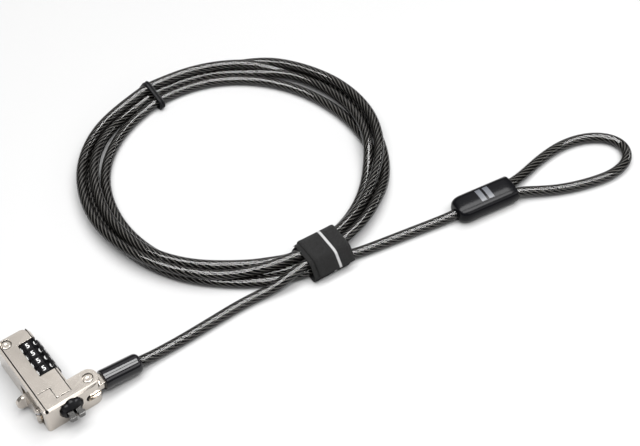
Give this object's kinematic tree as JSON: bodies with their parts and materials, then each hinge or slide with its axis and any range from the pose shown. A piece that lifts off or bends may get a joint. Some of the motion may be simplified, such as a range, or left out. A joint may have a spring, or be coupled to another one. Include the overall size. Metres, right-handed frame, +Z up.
{
  "type": "laptop cable lock",
  "caption": "Number-wheel laptop cable lock: L-shaped metal head with claws, release lever and swivelling cable end, coiled steel cable with strap, tie and end loop.",
  "frame": {"origin": "on the surface the lock lies on, under the middle of the head and the cable sleeve", "axes": "+Z up from the head's back face, +Y along the long arm away from the claws, +X along the short arm to the cable"},
  "size_m": [0.2764, 0.1685, 0.0128],
  "materials": {
    "nickel": "satin nickel plating",
    "steel": "bright turned steel",
    "spring_steel": "drawn wire",
    "brass": "turned",
    "wheel_plastic": "fine satin, white digits",
    "gloss_black": "moulded gloss",
    "rubber": "matt",
    "jacket": "smoky see-through jacket over steel rope",
    "fabric": "woven hook-and-loop tape"
  },
  "bodies": {
    "cable": {"swivel_tongue": "nickel", "rope_end": "steel", "cable_sleeve": "gloss_black", "cable_lock_tail": "jacket", "cable_coil": "jacket", "coil_tie": "rubber", "hook_strap": "fabric", "cable_loop_tail": "jacket", "loop_sleeve": "gloss_black", "loop_ferrule": "steel", "cable_end_loop": "jacket"},
    "head": {"main_housing": "nickel", "top_cover": "nickel", "cover_pin": "steel", "pivot_pin": "steel", "rubber_collar": "rubber", "nose_barrel": "steel", "claw_pin_left": "steel", "claw_pin_right": "steel", "spindle_spring": "spring_steel", "lever_pin": "steel", "lever_spring": "spring_steel", "detent_spring": "spring_steel"},
    "lever": {"release_lever": "nickel"},
    "slide": {"claw_slide": "steel", "spindle": "steel"},
    "left_claw": {"claw_left": "steel"},
    "right_claw": {"claw_right": "steel"},
    "wheel_1": {"number_wheel_1": "wheel_plastic", "wheel_hub_1": "brass"},
    "wheel_2": {"number_wheel_2": "wheel_plastic", "wheel_hub_2": "brass"},
    "wheel_3": {"number_wheel_3": "wheel_plastic", "wheel_hub_3": "brass"},
    "wheel_4": {"number_wheel_4": "wheel_plastic", "wheel_hub_4": "brass"}
  },
  "joints": [
    {"name": "head_swivel", "type": "hinge", "parent": "cable", "child": "head", "pos_m": [0.00177, -0.01232, 0.0062], "axis": [0, 0, 1], "range_deg": [-80, 80]},
    {"name": "wheel_1_spin", "type": "hinge", "parent": "head", "child": "wheel_1", "pos_m": [-0.00843, 0.00117, 0.00775], "axis": [0, 1, 0], "continuous": true},
    {"name": "wheel_2_spin", "type": "hinge", "parent": "head", "child": "wheel_2", "pos_m": [-0.00843, 0.00529, 0.00775], "axis": [0, 1, 0], "continuous": true},
    {"name": "wheel_3_spin", "type": "hinge", "parent": "head", "child": "wheel_3", "pos_m": [-0.00843, 0.00941, 0.00775], "axis": [0, 1, 0], "continuous": true},
    {"name": "wheel_4_spin", "type": "hinge", "parent": "head", "child": "wheel_4", "pos_m": [-0.00843, 0.01353, 0.00775], "axis": [0, 1, 0], "continuous": true},
    {"name": "slide_travel", "type": "slide", "parent": "head", "child": "slide", "axis": [0, -1, 0], "range_m": [0, 0.0006], "stiffness_N_per_m": 300, "springref_m": -0.002},
    {"name": "lever_press", "type": "hinge", "parent": "head", "child": "lever", "pos_m": [-0.01883, -0.01015, 0.005], "axis": [0, 0, -1], "range_deg": [0, 8]},
    {"name": "left_claw_turn", "type": "hinge", "parent": "head", "child": "left_claw", "pos_m": [-0.00978, -0.01105, 0.0073], "axis": [0, 0, 1], "range_deg": [0, 1.6]},
    {"name": "right_claw_turn", "type": "hinge", "parent": "head", "child": "right_claw", "pos_m": [-0.00658, -0.01105, 0.0073], "axis": [0, 0, -1], "range_deg": [0, 1.6]}
  ],
  "couplings": [
    {"joint": "lever_press", "follows": "slide_travel", "rad_per_m": 232.7},
    {"joint": "left_claw_turn", "follows": "slide_travel", "rad_per_m": 46.5},
    {"joint": "right_claw_turn", "follows": "slide_travel", "rad_per_m": 46.5}
  ]
}
